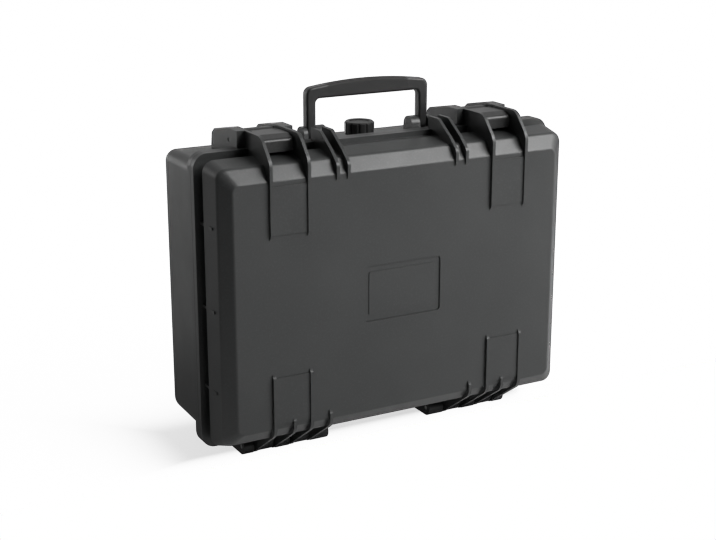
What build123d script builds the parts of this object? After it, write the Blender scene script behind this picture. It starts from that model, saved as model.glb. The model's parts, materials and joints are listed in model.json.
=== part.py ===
"""Hard camera case, standing on its hinge side with the lid towards the front.

X runs across the case, Y runs from the lid's face back to the base, Z runs up
from the feet to the handle. The origin is under the middle of the case, on the
floor. All sizes are in millimetres.
"""

import os
from math import radians, tan

from build123d import *

os.makedirs("parts", exist_ok=True)

# Closed case
flange_width = 443
flange_height = 326
flange_corner = 16
flange_thickness = 8
lid_depth = 58
base_depth = 92
foot_height = 19.5
wall = 3.5
parting_gap = 0.5

# Lid: flat face, bevelled shoulder, skirt and the groove in front of the flange
face_inset_side = 21.5
face_inset_top = 26
face_inset_bottom = 28
face_corner = 8
face_round = 5
shoulder_depth = 11
shoulder_inset_side = 8.5
shoulder_inset_top = 10
shoulder_inset_bottom = 14.5
shoulder_corner = 11
shoulder_round = 6
skirt_depth = 38
skirt_inset = 5
skirt_corner = 13
skirt_wall = 3
groove_inset = 15
groove_corner = 7
pocket_depth = 18
gusset_thickness = 3
gusset_spacing = 90
gusset_bite = 1
level_top_drop = 1
lid_draft = 2
bevel_thickening = 1

# Base: its walls stand in from the flange to leave room for latches and handle
base_inset_side = 5
base_inset_top = 11
base_inset_bottom = 8
base_corner = 14
base_bottom_corner = 20
base_draft_angle = 1.25
base_back_round = 7

# Seal between the halves
seal_inset = 6.75
seal_width = 4
seal_groove_depth = 5
seal_height = 2.4
tongue_width = 3
tongue_height = 1.8

# Protective fins beside the latches, on the lid and on the base
latch_from_side = 85.5
latch_gap = 40
fin_thickness = 3.5
fin_rise = 18
fin_length = 101
fin_run_out = 6
fin_root_depth = 0.5
fin_bevel_run = 22
fin_bevel_drop = 25
fin_radii = [5, 18, 18]
face_fin_proud = 3
bottom_fin_length = 64
bottom_fin_stub = 12
bottom_fin_bevel_drop = 6.5
bottom_fin_toe = 4
bottom_fin_radii = [5, 14, 10]
stub_fin_radii = [4, 14, 10]
band_proud = 1.2
band_sink = 1
cheek_width = 12.25
cheek_top_run = 23.5
cheek_slope_run = 59.5
cheek_slope_drop = 7
cheek_end_run = 66
cheek_end_drop = 12
cheek_foot_run = 69
rib_radius = 4

# Handle fins on the lid
handle_fin_inner_x = 67
handle_fin_outer_x = 80
handle_fin_rise = 14
handle_fin_length = 8
handle_fin_run_out = 5
handle_fin_bevel_drop = 15
handle_fin_bevel_run = 12.5
handle_fin_bevel_end = 2.5
handle_fin_crest_run = 37.5
handle_fin_radii = [2, 8, 10, 8]
handle_fin_proud = 2

# Hinge and feet under the case
hinge_height = 8.5
hinge_pin_radius = 2.5
knuckle_radius = 8.5
lid_knuckle_radius = 7.5
knuckle_gap = 0.6
hinge_from_side = 49.5
hinge_length = 104.5
end_knuckle_width = 20.2
lid_knuckle_width = 26.9
lid_knuckle_spacing = 44
foot_pad_thickness = 3
foot_pad_front = 6
foot_length = 66
foot_ramp_run = 16
foot_ramp_rise = 10
back_rib_run = 88

# Label recess in the lid's face
label_width = 97
label_height = 63
label_corner = 4
label_recess = 1.5
label_border = 7
label_panel_rise = 0.8

# Latches
latch_side_clearance = 1
hook_pin_back = 22
hook_pin_height = 5.5
hook_pin_radius = 2
hook_knuckle_radius = 10
hook_thickness = 5
hook_clearance = 0.6
claw_width = 5.8
claw_drop = 6.5
hook_ear_width = 5.5
lever_pin_back = 8
lever_pin_radius = 1.6
lever_barrel_radius = 4.5
lever_gap = 0.9
lever_reach = 38
lever_thickness = 3.6
lever_slope_run = 12
lever_slope_drop = 4
lever_lip_drop = 13.5
lever_side_wall = 2.5
lever_radii = [8, 4.5]
pin_bite = 8
pin_recess = 1

# Carrying handle
handle_width = 152
handle_post_width = 10.5
handle_depth = 11
handle_pivot_back = 25
handle_pivot_height = 1.5
handle_top = 403.5
handle_arch = 6
handle_bar_height = 17
handle_corner = 8
handle_inner_corner = 6
handle_round = 2.5
handle_pin_radius = 2.5
grip_length = 100
grip_thickness = 1.8
ear_radius = 9
ear_foot = 4
ear_inner_width = 11
ear_outer_width = 5

# Pressure valve in the top wall of the base
valve_back = 41
valve_boss_radius = 17
valve_boss_rise = 1
valve_pad_depth = 1.5
valve_stem_radius = 8
valve_flange_radius = 14
valve_flange_thickness = 2.5
valve_neck_radius = 9
valve_neck_height = 8
valve_stem_length = 13
valve_bore_radius = 4
membrane_radius = 6
membrane_thickness = 0.6
membrane_depth = 2
knob_radius = 16.5
knob_height = 14.5
knob_chamfer = 1.5
knob_rim_width = 5
knob_recess_depth = 0.8
knob_flutes = 12
knob_flute_radius = 2
nut_width = 22
nut_thickness = 4
valve_seal_radius = 11
valve_seal_section = 1.2

# Foam inside
foam_clearance = 0.8
base_pad_thickness = 18
foam_below_rim = 3
pocket_border = 24
pocket_corner = 10
camera_pocket_width = 190
camera_pocket_height = 140
lid_foam_thickness = 36
valve_notch_clearance = 3

# Clearances
running_clearance = 0.05
side_clearance = 0.4
seat_gap = 0.3
reach = 0.1

# Depths of the closed case, from front to back
case_depth = lid_depth + base_depth
face_y = (face_fin_proud - case_depth) / 2
parting_y = face_y + lid_depth
back_y = face_y + case_depth
face_inner_y = face_y + wall
shoulder_y = face_y + shoulder_depth
skirt_y = face_y + skirt_depth
lid_flange_y = parting_y - flange_thickness
base_flange_y = parting_y + flange_thickness
lid_rim_y = parting_y - parting_gap / 2
base_rim_y = parting_y + parting_gap / 2
base_floor_y = back_y - wall
hinge_y = parting_y

# Heights and widths of the closed case
latch_x = flange_width / 2 - latch_from_side
hinge_outer_x = flange_width / 2 - hinge_from_side
hinge_inner_x = hinge_outer_x - hinge_length
lid_knuckle_inner_x = hinge_inner_x + end_knuckle_width + knuckle_gap
centre_z = foot_height + flange_height / 2
flange_top = foot_height + flange_height
fin_top = flange_top + fin_rise
core_top = flange_top - groove_inset
lid_cavity_inset = groove_inset + wall
lid_cavity_top = flange_top - lid_cavity_inset
lid_cavity_bottom = foot_height + lid_cavity_inset
face_top = flange_top - face_inset_top
face_bottom = foot_height + face_inset_bottom
base_top = flange_top - base_inset_top
base_bottom = foot_height + base_inset_bottom
fin_inner_x = latch_x - latch_gap / 2 - fin_thickness / 2
fin_outer_x = latch_x + latch_gap / 2 + fin_thickness / 2
knuckle_bottom = hinge_height - lid_knuckle_radius

# Places of the latches
latch_width = latch_gap - 2 * latch_side_clearance
hook_pin_y = parting_y + hook_pin_back
hook_pin_z = flange_top + hook_pin_height
hook_bottom = flange_top + hook_clearance
hook_top = hook_bottom + hook_thickness
claw_back_y = lid_flange_y - hook_clearance
claw_front_y = claw_back_y - claw_width
claw_bottom = flange_top - claw_drop
lever_pin_y = parting_y + lever_pin_back
lever_pin_z = hook_top + lever_gap + lever_barrel_radius
lever_top = lever_pin_z + lever_barrel_radius
lever_front_y = lever_pin_y - lever_reach
barrel_width = latch_width - 2 * (hook_ear_width + side_clearance)

# Places of the handle and its ears
handle_pivot_y = parting_y + handle_pivot_back
handle_pivot_z = flange_top + handle_pivot_height
handle_side_x = handle_width / 2
handle_gap_x = handle_side_x - handle_post_width
handle_shoulder = handle_top - handle_arch
handle_underside = handle_top - handle_bar_height
ear_inner_x = handle_gap_x - side_clearance - ear_inner_width / 2
ear_outer_x = handle_side_x + side_clearance + ear_outer_width / 2

# Places of the valve
valve_y = parting_y + valve_back
valve_seat_z = base_top + valve_boss_rise
valve_nut_top = base_top - wall - valve_pad_depth
valve_stem_bottom = valve_seat_z - valve_stem_length
valve_neck_top = valve_seat_z + valve_flange_thickness + valve_neck_height
knob_bottom = valve_seat_z + valve_flange_thickness + seat_gap

# Places of the foam
pad_front_y = base_floor_y - seat_gap - base_pad_thickness
insert_front_y = base_rim_y + foam_below_rim
foam_side_x = flange_width / 2 - base_inset_side - wall - foam_clearance
foam_top = base_top - wall - foam_clearance
foam_bottom = base_bottom + wall + foam_clearance
valve_notch_width = nut_width * 2 / 3**0.5 + 2 * valve_notch_clearance
base_draft = (case_depth - lid_depth) * tan(radians(base_draft_angle))


def across(y):
    """Plane across the case at depth y, facing front, with axes along width and height."""
    return Plane(origin=(0, y, 0), x_dir=(1, 0, 0), z_dir=(0, -1, 0))


def along(x):
    """Plane of a section at x, with axes along depth and height."""
    return Plane(origin=(x, 0, 0), x_dir=(0, 1, 0), z_dir=(1, 0, 0))


def level(z):
    """Level plane at height z."""
    return Plane(origin=(0, 0, z), x_dir=(1, 0, 0), z_dir=(0, 0, 1))


def both_sides(*positions):
    """Each position on the right and on the left of the case."""
    return [side * x for x in positions for side in (1, -1)]


def rounded_outline(side, top, bottom, corner, mode=Mode.ADD):
    """Rounded rectangle that stands in from the flange's outline on each side."""
    with Locations((0, centre_z + (bottom - top) / 2)):
        RectangleRounded(flange_width - 2 * side, flange_height - top - bottom, corner, mode=mode)


def ring_outline(middle, width):
    """Ring that follows the flange's outline, for the seal, its groove and the tongue."""
    outer = middle - width / 2
    inner = middle + width / 2
    rounded_outline(outer, outer, outer, flange_corner - outer)
    rounded_outline(inner, inner, inner, flange_corner - inner, mode=Mode.SUBTRACT)


def base_block(start, end, inward, mode=Mode.ADD):
    """Block between two depths with the base's drafted outline, moved inwards."""
    moved = inward + (start - base_rim_y) * tan(radians(base_draft_angle))
    with BuildSketch(across(start)) as outline:
        with Locations((0, centre_z + (base_inset_bottom - base_inset_top) / 2)):
            Rectangle(
                flange_width - 2 * (base_inset_side + moved),
                flange_height - base_inset_top - base_inset_bottom - 2 * moved,
            )
        fillet(outline.vertices().group_by(Axis.Y)[-1], base_corner - moved)
        fillet(outline.vertices().group_by(Axis.Y)[0], base_bottom_corner - moved)
    extrude(outline.sketch, amount=start - end, taper=base_draft_angle, mode=mode)


def lid_inner_outline(y, inward):
    """Outline of the lid's inner wall at depth y, moved inwards; it narrows behind the bevel."""
    shoulder_inner_y = shoulder_y + wall
    if y < shoulder_inner_y:
        share = (shoulder_inner_y - y) / (shoulder_inner_y - face_inner_y)
        narrow = lid_cavity_inset + lid_draft
        side = narrow + share * (face_inset_side + bevel_thickening - narrow)
        top = narrow + share * (face_inset_top + bevel_thickening - narrow)
        bottom = narrow + share * (face_inset_bottom + bevel_thickening - narrow)
    else:
        share = (lid_rim_y - y) / (lid_rim_y - shoulder_inner_y)
        side = lid_cavity_inset + share * lid_draft
        top = side
        bottom = side
    rounded_outline(side + inward, top + inward, bottom + inward, groove_corner - wall)


def bar(start, end, y, z, radius, mode=Mode.ADD):
    """Round bar along the width of the case, from one x to another."""
    with Locations((((start + end) / 2), y, z)):
        Cylinder(radius, abs(end - start), rotation=(0, 90, 0), mode=mode)


def handle_outline(inset=0, length=None):
    """Handle seen from the front, moved inwards, whole or only its middle length."""
    with BuildSketch(across(handle_pivot_y)) as outline:
        with BuildLine():
            ThreePointArc(
                (-handle_side_x, handle_shoulder), (0, handle_top), (handle_side_x, handle_shoulder)
            )
            Polyline(
                (handle_side_x, handle_shoulder),
                (handle_side_x, handle_pivot_z),
                (handle_gap_x, handle_pivot_z),
                (handle_gap_x, handle_underside),
                (-handle_gap_x, handle_underside),
                (-handle_gap_x, handle_pivot_z),
                (-handle_side_x, handle_pivot_z),
                (-handle_side_x, handle_shoulder),
            )
        make_face()
        corners = outline.vertices().sort_by(Axis.Y)
        fillet(corners[-2:], handle_corner)
        inner_corners = outline.vertices().filter_by_position(
            Axis.Y, handle_underside - reach, handle_underside + reach
        )
        fillet(inner_corners, handle_inner_corner)
        if inset:
            offset(amount=-inset)
        if length:
            with Locations((0, handle_top)):
                Rectangle(length, 3 * handle_bar_height, mode=Mode.INTERSECT)
    return outline.sketch


def finish(piece, name):
    """Label a finished piece and write it."""
    piece.part.label = name
    export_step(piece.part, f"parts/{name}.step")


# Outlines of the fins, in depth and height
fin_front_y = face_y - face_fin_proud
top_root = [
    (lid_rim_y, lid_cavity_top + wall / 2),
    (shoulder_y + wall, lid_cavity_top + wall / 2),
    (face_y + wall / 2, face_top - wall),
]
latch_fin_end = fin_top - fin_length
latch_fin_path = [
    (face_y + fin_root_depth, latch_fin_end - fin_run_out),
    (fin_front_y, latch_fin_end),
    (fin_front_y, fin_top - fin_bevel_drop),
    (fin_front_y + fin_bevel_run, fin_top),
    (lid_rim_y, fin_top),
]
latch_fin_root = top_root + [(face_y + wall / 2, latch_fin_end - fin_run_out)]
handle_fin_end = face_top - handle_fin_length
handle_fin_path = [
    (face_y + fin_root_depth, handle_fin_end),
    (face_y - handle_fin_proud, handle_fin_end + handle_fin_run_out),
    (face_y - handle_fin_proud, flange_top - handle_fin_bevel_drop),
    (face_y + handle_fin_bevel_run, flange_top - handle_fin_bevel_end),
    (face_y + handle_fin_crest_run, flange_top + handle_fin_rise),
    (lid_rim_y, flange_top + handle_fin_rise),
]
handle_fin_root = top_root + [(face_y + wall / 2, handle_fin_end)]
bottom_root = [
    (hinge_y, hinge_height),
    (lid_rim_y, hinge_height),
    (lid_rim_y, lid_cavity_bottom - wall / 2),
    (shoulder_y + wall, lid_cavity_bottom - wall / 2),
    (face_y + wall / 2, face_bottom + wall),
]
bottom_fin_end = face_bottom + bottom_fin_length
bottom_fin_foot = [
    (fin_front_y, face_bottom - bottom_fin_bevel_drop),
    (hinge_y - bottom_fin_toe, knuckle_bottom),
    (hinge_y, knuckle_bottom),
]
bottom_fin_path = [
    (face_y + fin_root_depth, bottom_fin_end),
    (fin_front_y, bottom_fin_end - fin_run_out),
] + bottom_fin_foot
bottom_fin_root = bottom_root + [(face_y + wall / 2, bottom_fin_end)]
stub_fin_path = [
    (face_y + fin_root_depth, face_bottom + bottom_fin_stub),
    (fin_front_y, face_bottom + bottom_fin_stub - fin_run_out),
] + bottom_fin_foot
stub_fin_root = bottom_root + [(face_y + wall / 2, face_bottom + bottom_fin_stub)]
cheek_path = [
    (base_rim_y, fin_top),
    (parting_y + cheek_top_run, fin_top),
    (parting_y + cheek_slope_run, fin_top - cheek_slope_drop),
    (parting_y + cheek_end_run, fin_top - cheek_end_drop),
    (parting_y + cheek_foot_run, base_top - base_draft),
]
cheek_root = [
    (parting_y + cheek_foot_run, base_top - base_draft - wall / 2),
    (base_rim_y, base_top - wall / 2),
]
foot_path = [
    (hinge_y, 0),
    (parting_y + foot_length, 0),
    (parting_y + foot_length + foot_ramp_run, foot_ramp_rise),
    (parting_y + back_rib_run, base_bottom + base_draft),
]
foot_root = [
    (parting_y + back_rib_run, base_bottom + base_draft + wall / 2),
    (base_rim_y, base_bottom + wall / 2),
    (base_rim_y, hinge_height),
    (hinge_y, hinge_height),
]

# Stretches of the hinge that the lid's and the base's knuckles take
lid_knuckles = [
    (lid_knuckle_inner_x + step * lid_knuckle_spacing, lid_knuckle_width) for step in range(2)
]
base_knuckle_edges = [hinge_inner_x]
for start, width in lid_knuckles:
    base_knuckle_edges += [start - knuckle_gap, start + width + knuckle_gap]
base_knuckle_edges.append(hinge_outer_x)
base_knuckles = [
    (base_knuckle_edges[i], base_knuckle_edges[i + 1] - base_knuckle_edges[i])
    for i in range(0, len(base_knuckle_edges), 2)
]
stub_fin_xs = [start + fin_thickness / 2 for start, width in lid_knuckles]
bottom_fin_xs = [start + width - fin_thickness / 2 for start, width in lid_knuckles]
base_fin_xs = [
    x
    for start, width in base_knuckles
    for x in (start + fin_thickness / 2, start + width - fin_thickness / 2)
]


# Lid shell
with BuildPart() as lid_shell:
    for y, side, top, bottom, corner in (
        (face_y, face_inset_side, face_inset_top, face_inset_bottom, face_corner),
        (shoulder_y, shoulder_inset_side, shoulder_inset_top, shoulder_inset_bottom, shoulder_corner),
        (skirt_y, skirt_inset, skirt_inset, skirt_inset, skirt_corner),
    ):
        with BuildSketch(across(y)):
            rounded_outline(side, top, bottom, corner)
    loft(ruled=True)
    fillet(lid_shell.edges().filter_by_position(Axis.Y, face_y - reach, face_y + reach), face_round)
    fillet(
        lid_shell.edges().filter_by_position(Axis.Y, shoulder_y - reach, shoulder_y + reach),
        shoulder_round,
    )
    # Pocket behind the skirt at the sides and the top, open to the groove
    pocket_inset = shoulder_inset_side + skirt_wall
    with BuildSketch(across(skirt_y)):
        rounded_outline(pocket_inset, pocket_inset, groove_inset, skirt_corner - skirt_wall)
        rounded_outline(*[groove_inset] * 3, groove_corner, mode=Mode.SUBTRACT)
    extrude(amount=pocket_depth, mode=Mode.SUBTRACT)
    # Inner wall across the groove, then the flange
    with BuildSketch(across(lid_flange_y)):
        rounded_outline(*[groove_inset] * 3, groove_corner)
    extrude(amount=lid_flange_y - skirt_y)
    with BuildSketch(across(lid_rim_y)):
        rounded_outline(0, 0, 0, flange_corner)
    extrude(amount=lid_rim_y - lid_flange_y)
    # Gussets across the groove
    gusset_run = lid_flange_y - skirt_y + pocket_depth
    for z in (centre_z - gusset_spacing, centre_z, centre_z + gusset_spacing):
        for x in both_sides(flange_width / 2 - (groove_inset + skirt_inset) / 2 - gusset_bite):
            with Locations((x, lid_flange_y - gusset_run / 2, z)):
                Box(groove_inset - skirt_inset, gusset_run, gusset_thickness)
    # Level top between the handle fins
    level_top_height = groove_inset - skirt_inset - level_top_drop
    with Locations((0, (skirt_y + lid_flange_y) / 2, core_top + level_top_height / 2)):
        Box(
            2 * handle_fin_inner_x,
            lid_flange_y - skirt_y + 2 * skirt_wall,
            level_top_height,
        )
    # Fins beside the latches, by the handle and down to the hinge
    for xs, path, radii, root in (
        ((fin_inner_x, fin_outer_x), latch_fin_path, fin_radii, latch_fin_root),
        ((handle_fin_inner_x, handle_fin_outer_x), handle_fin_path, handle_fin_radii, handle_fin_root),
        (stub_fin_xs, stub_fin_path, stub_fin_radii, stub_fin_root),
        (bottom_fin_xs, bottom_fin_path, bottom_fin_radii, bottom_fin_root),
    ):
        for x in both_sides(*xs):
            with BuildSketch(along(x)):
                with BuildLine():
                    FilletPolyline(*path, radius=radii)
                    Polyline(path[-1], *root, path[0])
                make_face()
    extrude(amount=fin_thickness / 2, both=True)
    # Hinge knuckles with their webs up to the flange
    for start, width in lid_knuckles:
        for x in both_sides(start + width / 2):
            with BuildSketch(along(x)):
                with Locations((hinge_y, hinge_height)):
                    Circle(lid_knuckle_radius)
                with Locations((lid_rim_y, hinge_height)):
                    Rectangle(
                        flange_thickness,
                        foot_height + wall - hinge_height,
                        align=(Align.MAX, Align.MIN),
                    )
    extrude(amount=lid_knuckle_width / 2, both=True)
    # Raised bands on the face between the fins
    for x in both_sides(latch_x):
        for low, high in (
            (latch_fin_end, face_top - face_round),
            (face_bottom + face_round, bottom_fin_end - fin_run_out),
        ):
            with Locations((x, face_y + (band_sink - band_proud) / 2, (low + high) / 2)):
                Box(latch_gap + fin_thickness, band_proud + band_sink, high - low)
    # Cavity
    for y in (face_inner_y, shoulder_y + wall, lid_rim_y):
        with BuildSketch(across(y)):
            lid_inner_outline(y, 0)
    loft(ruled=True, mode=Mode.SUBTRACT)
    # Groove for the seal
    with BuildSketch(across(lid_rim_y)):
        ring_outline(seal_inset, seal_width)
    extrude(amount=seal_groove_depth, mode=Mode.SUBTRACT)
    # Label recess with a raised inner panel
    with BuildSketch(across(face_y)):
        with Locations((0, centre_z)):
            RectangleRounded(label_width, label_height, label_corner)
    extrude(amount=-label_recess, mode=Mode.SUBTRACT)
    with BuildSketch(across(face_y + label_recess)):
        with Locations((0, centre_z)):
            RectangleRounded(
                label_width - 2 * label_border, label_height - 2 * label_border, label_corner / 2
            )
    extrude(amount=label_panel_rise)
    # Hinge bores
    for side in (1, -1):
        bar(
            side * hinge_inner_x,
            side * hinge_outer_x,
            hinge_y,
            hinge_height,
            hinge_pin_radius + running_clearance,
            mode=Mode.SUBTRACT,
        )
finish(lid_shell, "lid_shell")


# Seal in the lid's groove
with BuildPart() as lid_seal:
    with BuildSketch(across(lid_rim_y - seal_groove_depth + seal_height)):
        ring_outline(seal_inset, seal_width)
    extrude(amount=seal_height)
finish(lid_seal, "lid_seal")


# Base shell
with BuildPart() as base_shell:
    base_block(base_rim_y, back_y, 0)
    fillet(base_shell.edges().filter_by_position(Axis.Y, back_y - reach, back_y + reach), base_back_round)
    with BuildSketch(across(base_flange_y)):
        rounded_outline(0, 0, 0, flange_corner)
    extrude(amount=base_flange_y - base_rim_y)
    # Tongue that presses into the seal
    with BuildSketch(across(base_rim_y)):
        ring_outline(seal_inset, tongue_width)
    extrude(amount=tongue_height)
    # Cheeks beside the latches
    for x in both_sides(
        latch_x - latch_gap / 2 - cheek_width / 2,
        latch_x + latch_gap / 2 + cheek_width / 2,
    ):
        with BuildSketch(along(x)):
            with BuildLine():
                FilletPolyline(*cheek_path, radius=rib_radius)
                Polyline(cheek_path[-1], *cheek_root, cheek_path[0])
            make_face()
    extrude(amount=cheek_width / 2, both=True)
    # Ears for the handle
    for centre, width in ((ear_inner_x, ear_inner_width), (ear_outer_x, ear_outer_width)):
        for x in both_sides(centre):
            with BuildSketch(along(x)):
                with Locations((handle_pivot_y, handle_pivot_z)):
                    Circle(ear_radius)
                with BuildLine():
                    Polyline(
                        (handle_pivot_y - ear_radius, handle_pivot_z),
                        (handle_pivot_y - ear_radius - ear_foot, base_top - wall),
                        (handle_pivot_y + ear_radius + ear_foot, base_top - wall),
                        (handle_pivot_y + ear_radius, handle_pivot_z),
                        close=True,
                    )
                make_face()
        extrude(amount=width / 2, both=True)
    # Feet and hinge knuckles
    for x in both_sides(*base_fin_xs):
        with BuildSketch(along(x)):
            with BuildLine():
                FilletPolyline(*foot_path, radius=rib_radius)
                Polyline(foot_path[-1], *foot_root, foot_path[0])
            make_face()
    extrude(amount=fin_thickness / 2, both=True)
    for start, width in base_knuckles:
        for x in both_sides(start + width / 2):
            with BuildSketch(along(x)):
                with Locations((hinge_y, hinge_height)):
                    Circle(knuckle_radius)
                with Locations((base_rim_y, hinge_height)):
                    Rectangle(
                        flange_thickness,
                        base_bottom - hinge_height,
                        align=(Align.MIN, Align.MIN),
                    )
                with Locations((parting_y + foot_pad_front, 0)):
                    Rectangle(
                        foot_length - foot_pad_front,
                        foot_pad_thickness,
                        align=(Align.MIN, Align.MIN),
                    )
        extrude(amount=width / 2, both=True)
    # Cavity
    base_block(base_rim_y, base_floor_y, wall, mode=Mode.SUBTRACT)
    # Level boss and hole for the pressure valve
    with BuildSketch(level(valve_nut_top)):
        with Locations((0, valve_y)):
            Circle(valve_boss_radius)
            Circle(valve_stem_radius + seat_gap, mode=Mode.SUBTRACT)
    extrude(amount=valve_seat_z - valve_nut_top)
    with Locations((0, valve_y, valve_seat_z)):
        Cylinder(valve_stem_radius + seat_gap, 2 * valve_stem_length, mode=Mode.SUBTRACT)
    # Bores for the hinge, latch and handle pins
    for side in (1, -1):
        bar(
            side * hinge_inner_x,
            side * hinge_outer_x,
            hinge_y,
            hinge_height,
            hinge_pin_radius + running_clearance,
            mode=Mode.SUBTRACT,
        )
        bar(
            side * (latch_x - latch_gap / 2 - pin_bite - pin_recess),
            side * (latch_x + latch_gap / 2 + cheek_width),
            hook_pin_y,
            hook_pin_z,
            hook_pin_radius + running_clearance,
            mode=Mode.SUBTRACT,
        )
        bar(
            side * (handle_gap_x - pin_bite - pin_recess),
            side * (ear_outer_x + ear_outer_width / 2),
            handle_pivot_y,
            handle_pivot_z,
            handle_pin_radius + running_clearance,
            mode=Mode.SUBTRACT,
        )
finish(base_shell, "base_shell")


# Hinge pins, one under each latch
for side, hand in ((1, "right"), (-1, "left")):
    with BuildPart() as hinge_pin:
        bar(side * hinge_inner_x, side * hinge_outer_x, hinge_y, hinge_height, hinge_pin_radius)
        chamfer(hinge_pin.edges().filter_by(GeomType.CIRCLE), hinge_pin_radius / 5)
    finish(hinge_pin, f"hinge_pin_{hand}")


# Latches: a hook on its pin, and the lever that pulls it down
for side, hand in ((1, "right"), (-1, "left")):
    middle = side * latch_x
    with BuildPart() as latch_hook:
        with BuildSketch(along(middle)):
            with BuildLine():
                FilletPolyline(
                    (hook_pin_y, hook_top),
                    (claw_front_y, hook_top),
                    (claw_front_y, claw_bottom),
                    radius=hook_thickness / 2,
                )
                Polyline(
                    (claw_front_y, claw_bottom),
                    (claw_back_y, claw_bottom),
                    (claw_back_y, hook_bottom),
                    (hook_pin_y, hook_bottom),
                    (hook_pin_y, hook_top),
                )
            make_face()
            with Locations((hook_pin_y, hook_pin_z)):
                Circle(hook_knuckle_radius)
        extrude(amount=latch_width / 2, both=True)
        ear_offset = (latch_width - hook_ear_width) / 2
        for x in (middle - ear_offset, middle + ear_offset):
            with BuildSketch(along(x)):
                with Locations((lever_pin_y, lever_pin_z)):
                    Circle(lever_barrel_radius)
                    Rectangle(
                        2 * lever_barrel_radius,
                        lever_pin_z - hook_top + hook_thickness / 2,
                        align=(Align.CENTER, Align.MAX),
                    )
        extrude(amount=hook_ear_width / 2, both=True)
        bar(
            middle - latch_width,
            middle + latch_width,
            hook_pin_y,
            hook_pin_z,
            hook_pin_radius + running_clearance,
            mode=Mode.SUBTRACT,
        )
        bar(
            middle - latch_width,
            middle + latch_width,
            lever_pin_y,
            lever_pin_z,
            lever_pin_radius + running_clearance,
            mode=Mode.SUBTRACT,
        )
    finish(latch_hook, f"latch_hook_{hand}")

    with BuildPart() as hook_pin:
        bar(
            side * (latch_x - latch_gap / 2 - pin_bite),
            side * (latch_x + latch_gap / 2 + cheek_width - pin_recess),
            hook_pin_y,
            hook_pin_z,
            hook_pin_radius,
        )
    finish(hook_pin, f"hook_pin_{hand}")

    with BuildPart() as latch_lever:
        slope_y = lever_front_y + lever_slope_run
        front_top = lever_top - lever_slope_drop
        lip_bottom = front_top - lever_lip_drop
        with BuildSketch(along(middle)):
            with BuildLine():
                FilletPolyline(
                    (lever_pin_y, lever_top),
                    (slope_y, lever_top),
                    (lever_front_y, front_top),
                    (lever_front_y, lip_bottom),
                    radius=lever_radii,
                )
                Polyline(
                    (lever_front_y, lip_bottom),
                    (lever_front_y + lever_thickness, lip_bottom),
                    (lever_front_y + lever_thickness, front_top - lever_thickness),
                    (slope_y, lever_top - lever_thickness),
                    (lever_pin_y, lever_top - lever_thickness),
                    (lever_pin_y, lever_top),
                )
            make_face()
        extrude(amount=latch_width / 2, both=True)
        # Side walls down to the hook's plate
        wall_offset = (latch_width - lever_side_wall) / 2
        for x in (middle - wall_offset, middle + wall_offset):
            with BuildSketch(along(x)):
                with BuildLine():
                    Polyline(
                        (lever_pin_y, lever_top - lever_thickness / 2),
                        (slope_y, lever_top - lever_thickness / 2),
                        (lever_front_y + lever_thickness / 2, front_top - lever_thickness / 2),
                        (lever_front_y + lever_thickness / 2, lip_bottom),
                        (lever_front_y + lever_thickness, lip_bottom),
                        (slope_y, hook_top + 2 * lever_gap),
                        (lever_pin_y, hook_top + 2 * lever_gap),
                        close=True,
                    )
                make_face()
        extrude(amount=lever_side_wall / 2, both=True)
        # Room for the hook's ears, then the barrel between them
        room_offset = (latch_width + barrel_width) / 4
        for x in (middle - room_offset, middle + room_offset):
            with Locations((x, lever_pin_y, lever_pin_z)):
                Box(
                    (latch_width - barrel_width) / 2,
                    2 * (lever_barrel_radius + lever_gap),
                    4 * lever_barrel_radius,
                    mode=Mode.SUBTRACT,
                )
        bar(
            middle - barrel_width / 2,
            middle + barrel_width / 2,
            lever_pin_y,
            lever_pin_z,
            lever_barrel_radius,
        )
        bar(
            middle - barrel_width,
            middle + barrel_width,
            lever_pin_y,
            lever_pin_z,
            lever_pin_radius + running_clearance,
            mode=Mode.SUBTRACT,
        )
    finish(latch_lever, f"latch_lever_{hand}")

    with BuildPart() as lever_pin:
        bar(
            middle - latch_width / 2 + pin_recess / 2,
            middle + latch_width / 2 - pin_recess / 2,
            lever_pin_y,
            lever_pin_z,
            lever_pin_radius,
        )
    finish(lever_pin, f"lever_pin_{hand}")


# Handle bow, thinner where the grip goes round it
with BuildPart() as handle_bow:
    extrude(handle_outline(), amount=handle_depth / 2, both=True)
    for side in (1, -1):
        bar(
            side * handle_gap_x,
            side * handle_side_x,
            handle_pivot_y,
            handle_pivot_z,
            handle_depth / 2,
        )
    above_pivot = handle_bow.edges().filter_by_position(Axis.Z, handle_pivot_z + reach, handle_top + reach)
    front_back = above_pivot.filter_by(lambda edge: abs(edge.center().Y - handle_pivot_y) > 1)
    post_ends = handle_bow.edges().filter_by_position(Axis.Z, 0, handle_pivot_z - reach)
    fillet(front_back + post_ends, handle_round)
    with Locations((0, handle_pivot_y, handle_top)):
        Box(grip_length, 2 * handle_depth, 3 * handle_bar_height, mode=Mode.SUBTRACT)
    extrude(
        handle_outline(grip_thickness, grip_length + 2 * handle_round),
        amount=handle_depth / 2 - grip_thickness,
        both=True,
    )
    for side in (1, -1):
        bar(
            side * handle_gap_x,
            side * handle_side_x,
            handle_pivot_y,
            handle_pivot_z,
            handle_pin_radius + running_clearance,
            mode=Mode.SUBTRACT,
        )
finish(handle_bow, "handle_bow")

# Soft grip sleeve, flush with the bow
with BuildPart() as handle_grip:
    extrude(
        handle_outline(length=grip_length - 2 * running_clearance),
        amount=handle_depth / 2,
        both=True,
    )
    long_edges = handle_grip.edges().filter_by(
        lambda edge: abs(edge.center().X) < 1 and abs(edge.center().Y - handle_pivot_y) > 1
    )
    fillet(long_edges, handle_round)
    extrude(
        handle_outline(grip_thickness - running_clearance, grip_length + 1),
        amount=handle_depth / 2 - grip_thickness + running_clearance,
        both=True,
        mode=Mode.SUBTRACT,
    )
finish(handle_grip, "handle_grip")

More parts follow.
